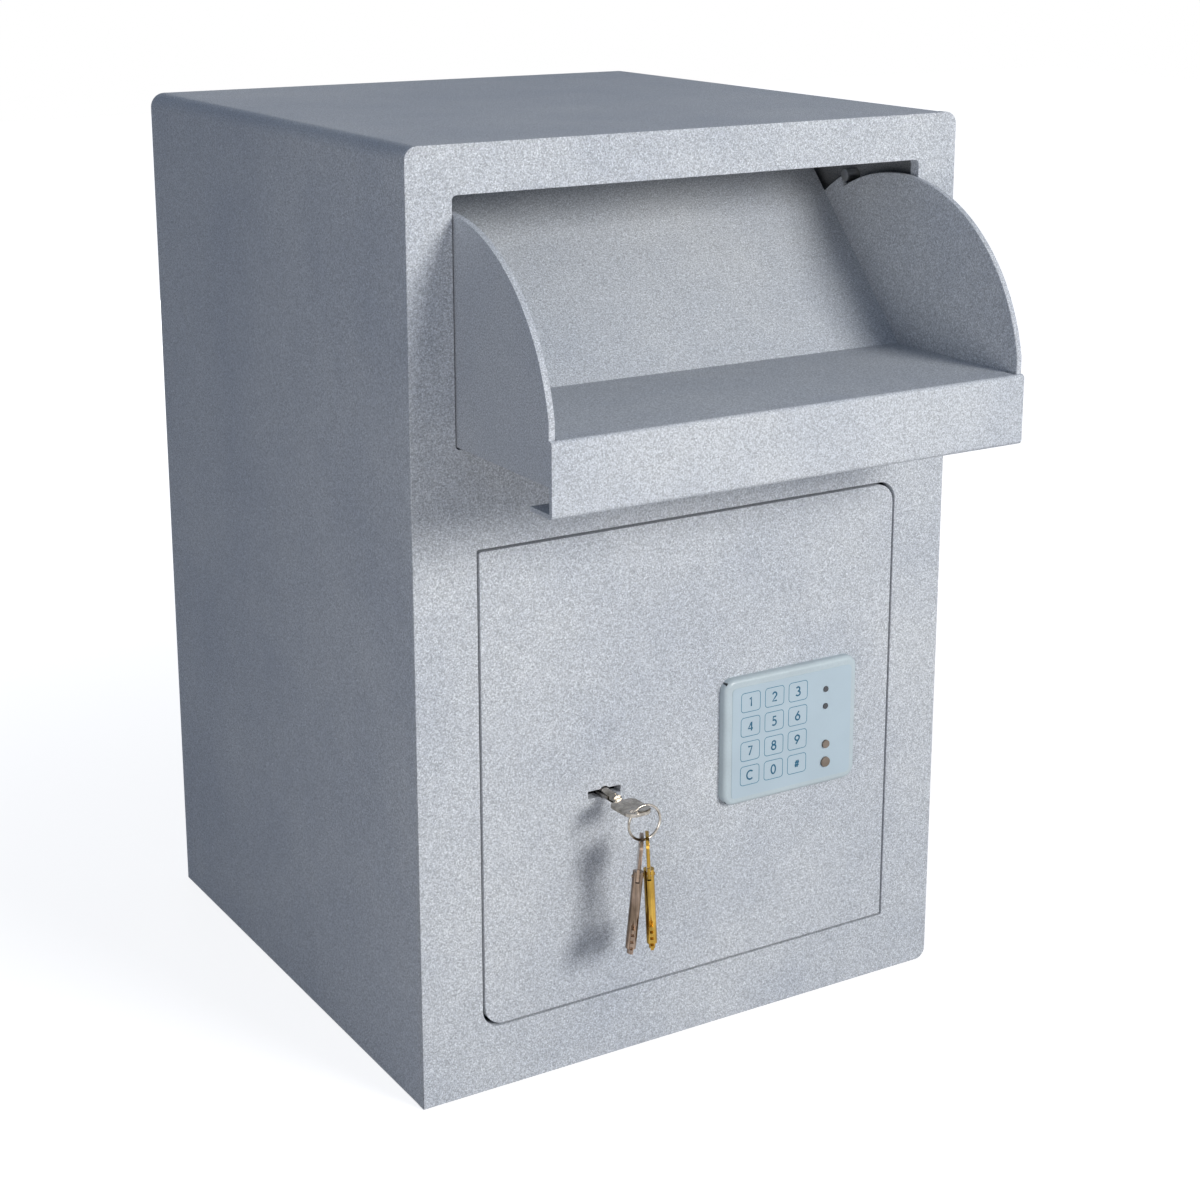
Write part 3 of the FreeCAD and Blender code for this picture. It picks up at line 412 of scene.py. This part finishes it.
def print_keys():
    """The keypad's twelve key frames and their signs."""
    low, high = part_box("keypad_membrane")
    frames, signs = [], []
    for row, names in enumerate(KEY_ROWS):
        for column, sign in enumerate(names):
            x = low.x + KEY_MARGIN_X + column * KEY_STEP_X
            z = high.z - KEY_MARGIN_Z - row * KEY_STEP_Z
            r = KEY_ROUND
            corners = (arc(x + KEY_WIDE - r, z - r, r, r, 0, 90, 6)
                       + arc(x + r, z - r, r, r, 90, 180, 6)
                       + arc(x + r, z - KEY_TALL + r, r, r, 180, 270, 6)
                       + arc(x + KEY_WIDE - r, z - KEY_TALL + r, r, r, 270, 360, 6))
            frames.append((corners, True))
            left = x + (KEY_WIDE - GLYPH_SLIM * GLYPH_TALL) / 2
            foot = z - (KEY_TALL + GLYPH_TALL) / 2
            for points, closed in GLYPHS[sign]:
                placed = [(left + u * GLYPH_TALL, foot + v * GLYPH_TALL) for u, v in points]
                signs.append((placed, closed))
    stroke_curve("key_frames", frames, FRAME_LINE, FRAME_FLAT, "door", INK_FRAME)
    stroke_curve("key_signs", signs, SIGN_LINE, SIGN_FLAT, "door", INK_SIGN)


print_keys()
KEYPAD_ANGLE = 60
for name in ("keypad_housing", "keypad_membrane"):
    soften(name, 0, 0, 0, KEYPAD_ANGLE)

scene = bpy.context.scene
FILL_COLOUR, FILL_STRENGTH = (0.72, 0.92, 1.28, 1), 0.19
WHITE_STRENGTH = 1.0


def seen_directly(tree):
    """A node whose value is 1 for what the camera sees, straight on, mirrored
    or through something clear."""
    path = tree.nodes.new("ShaderNodeLightPath")
    mirrored = tree.nodes.new("ShaderNodeMath")
    mirrored.operation = "MAXIMUM"
    clear = tree.nodes.new("ShaderNodeMath")
    clear.operation = "MAXIMUM"
    tree.links.new(path.outputs["Is Camera Ray"], mirrored.inputs[0])
    tree.links.new(path.outputs["Is Glossy Ray"], mirrored.inputs[1])
    tree.links.new(mirrored.outputs[0], clear.inputs[0])
    tree.links.new(path.outputs["Is Transmission Ray"], clear.inputs[1])
    return clear


def make_world():
    world = bpy.data.worlds.new("studio")
    scene.world = world
    world.use_nodes = True
    tree = world.node_tree
    tree.nodes.clear()
    out = tree.nodes.new("ShaderNodeOutputWorld")
    fill = tree.nodes.new("ShaderNodeBackground")
    fill.inputs["Color"].default_value = FILL_COLOUR
    fill.inputs["Strength"].default_value = FILL_STRENGTH
    white = tree.nodes.new("ShaderNodeBackground")
    white.inputs["Color"].default_value = (1, 1, 1, 1)
    white.inputs["Strength"].default_value = WHITE_STRENGTH
    mix = tree.nodes.new("ShaderNodeMixShader")
    tree.links.new(seen_directly(tree).outputs[0], mix.inputs[0])
    tree.links.new(fill.outputs[0], mix.inputs[1])
    tree.links.new(white.outputs[0], mix.inputs[2])
    tree.links.new(mix.outputs[0], out.inputs[0])


make_world()


def area(name, place, aim, size, power, colour):
    """A round lamp of a size in metres and a power in watts, aimed at a point."""
    light = bpy.data.lights.new(name, "AREA")
    light.shape = "DISK"
    light.size = size
    light.energy = power
    light.color = colour
    obj = bpy.data.objects.new(name, light)
    link(obj)
    obj.location = place
    obj.rotation_euler = (Vector(aim) - Vector(place)).to_track_quat("-Z", "Y").to_euler()


area("key_light", place=(0.80, -2.42, 1.24), aim=(0, -0.2, 0.40), size=0.9, power=48,
     colour=(1.0, 0.99, 0.97))
area("fill_light", place=(-1.0, -1.2, 0.25), aim=(-0.2, -0.15, 0.3), size=0.8, power=5.2,
     colour=(1.0, 0.97, 0.95))
area("back_light", place=(0.7, 2.6, 0.35), aim=(0, 0.2, 0.3), size=1.0, power=14,
     colour=(1.0, 0.98, 0.95))

FLOOR_HALF, FLOOR_DROP = 6, 0.0005
FLOOR_TONE = (0.42, 0.42, 0.43, 1)
GLOW_NEAR, GLOW_FAR = 0.25, 1.3
GLOW_LOW, GLOW_FULL = 0.84, 1.0


def make_floor():
    """A pale floor that glows towards white away from the object,
    so that only the object's shadow shows."""
    mesh = bpy.data.meshes.new("floor")
    bm = bmesh.new()
    bmesh.ops.create_grid(bm, x_segments=1, y_segments=1, size=FLOOR_HALF)
    bm.to_mesh(mesh)
    bm.free()
    obj = link(bpy.data.objects.new("floor", mesh))
    obj.location = (0, 0, -FLOOR_DROP)
    mat = bpy.data.materials.new("floor")
    mat.use_nodes = True
    tree = mat.node_tree
    tree.nodes.clear()
    out = tree.nodes.new("ShaderNodeOutputMaterial")
    plain = tree.nodes.new("ShaderNodeBsdfDiffuse")
    plain.inputs["Color"].default_value = FLOOR_TONE
    place = tree.nodes.new("ShaderNodeTexCoord")
    far = tree.nodes.new("ShaderNodeVectorMath")
    far.operation = "LENGTH"
    fade = tree.nodes.new("ShaderNodeMapRange")
    fade.interpolation_type = "SMOOTHSTEP"
    fade.inputs["From Min"].default_value = GLOW_NEAR
    fade.inputs["From Max"].default_value = GLOW_FAR
    fade.inputs["To Min"].default_value = GLOW_LOW
    fade.inputs["To Max"].default_value = GLOW_FULL
    glow = tree.nodes.new("ShaderNodeEmission")
    both = tree.nodes.new("ShaderNodeAddShader")
    mix = tree.nodes.new("ShaderNodeMixShader")
    tree.links.new(place.outputs["Object"], far.inputs[0])
    tree.links.new(far.outputs["Value"], fade.inputs["Value"])
    tree.links.new(fade.outputs[0], glow.inputs["Strength"])
    tree.links.new(plain.outputs[0], both.inputs[0])
    tree.links.new(glow.outputs[0], both.inputs[1])
    tree.links.new(seen_directly(tree).outputs[0], mix.inputs[0])
    tree.links.new(plain.outputs[0], mix.inputs[1])
    tree.links.new(both.outputs[0], mix.inputs[2])
    tree.links.new(mix.outputs[0], out.inputs[0])
    dress(obj, mat)


make_floor()

# The camera's film width and focal length in millimetres, its place in metres and its
# turn from straight ahead in degrees. The shift keeps the uprights nearly parallel.
FILM_WIDTH, FOCAL_LENGTH, LENS_SHIFT = 36, 67.24, -0.12
EYE_PLACE = (-0.7612, -1.3311, 0.7393)
YAW, PITCH = math.radians(31.38), math.radians(-14.17)


def make_camera():
    camera = bpy.data.cameras.new("camera")
    camera.sensor_width = FILM_WIDTH
    camera.lens = FOCAL_LENGTH
    camera.shift_y = LENS_SHIFT
    eye = link(bpy.data.objects.new("camera", camera))
    eye.location = EYE_PLACE
    look = Vector((math.sin(YAW) * math.cos(PITCH), math.cos(YAW) * math.cos(PITCH),
                   math.sin(PITCH)))
    eye.rotation_euler = look.to_track_quat("-Z", "Y").to_euler()
    scene.camera = eye


make_camera()

scene.view_settings.view_transform = "Standard"
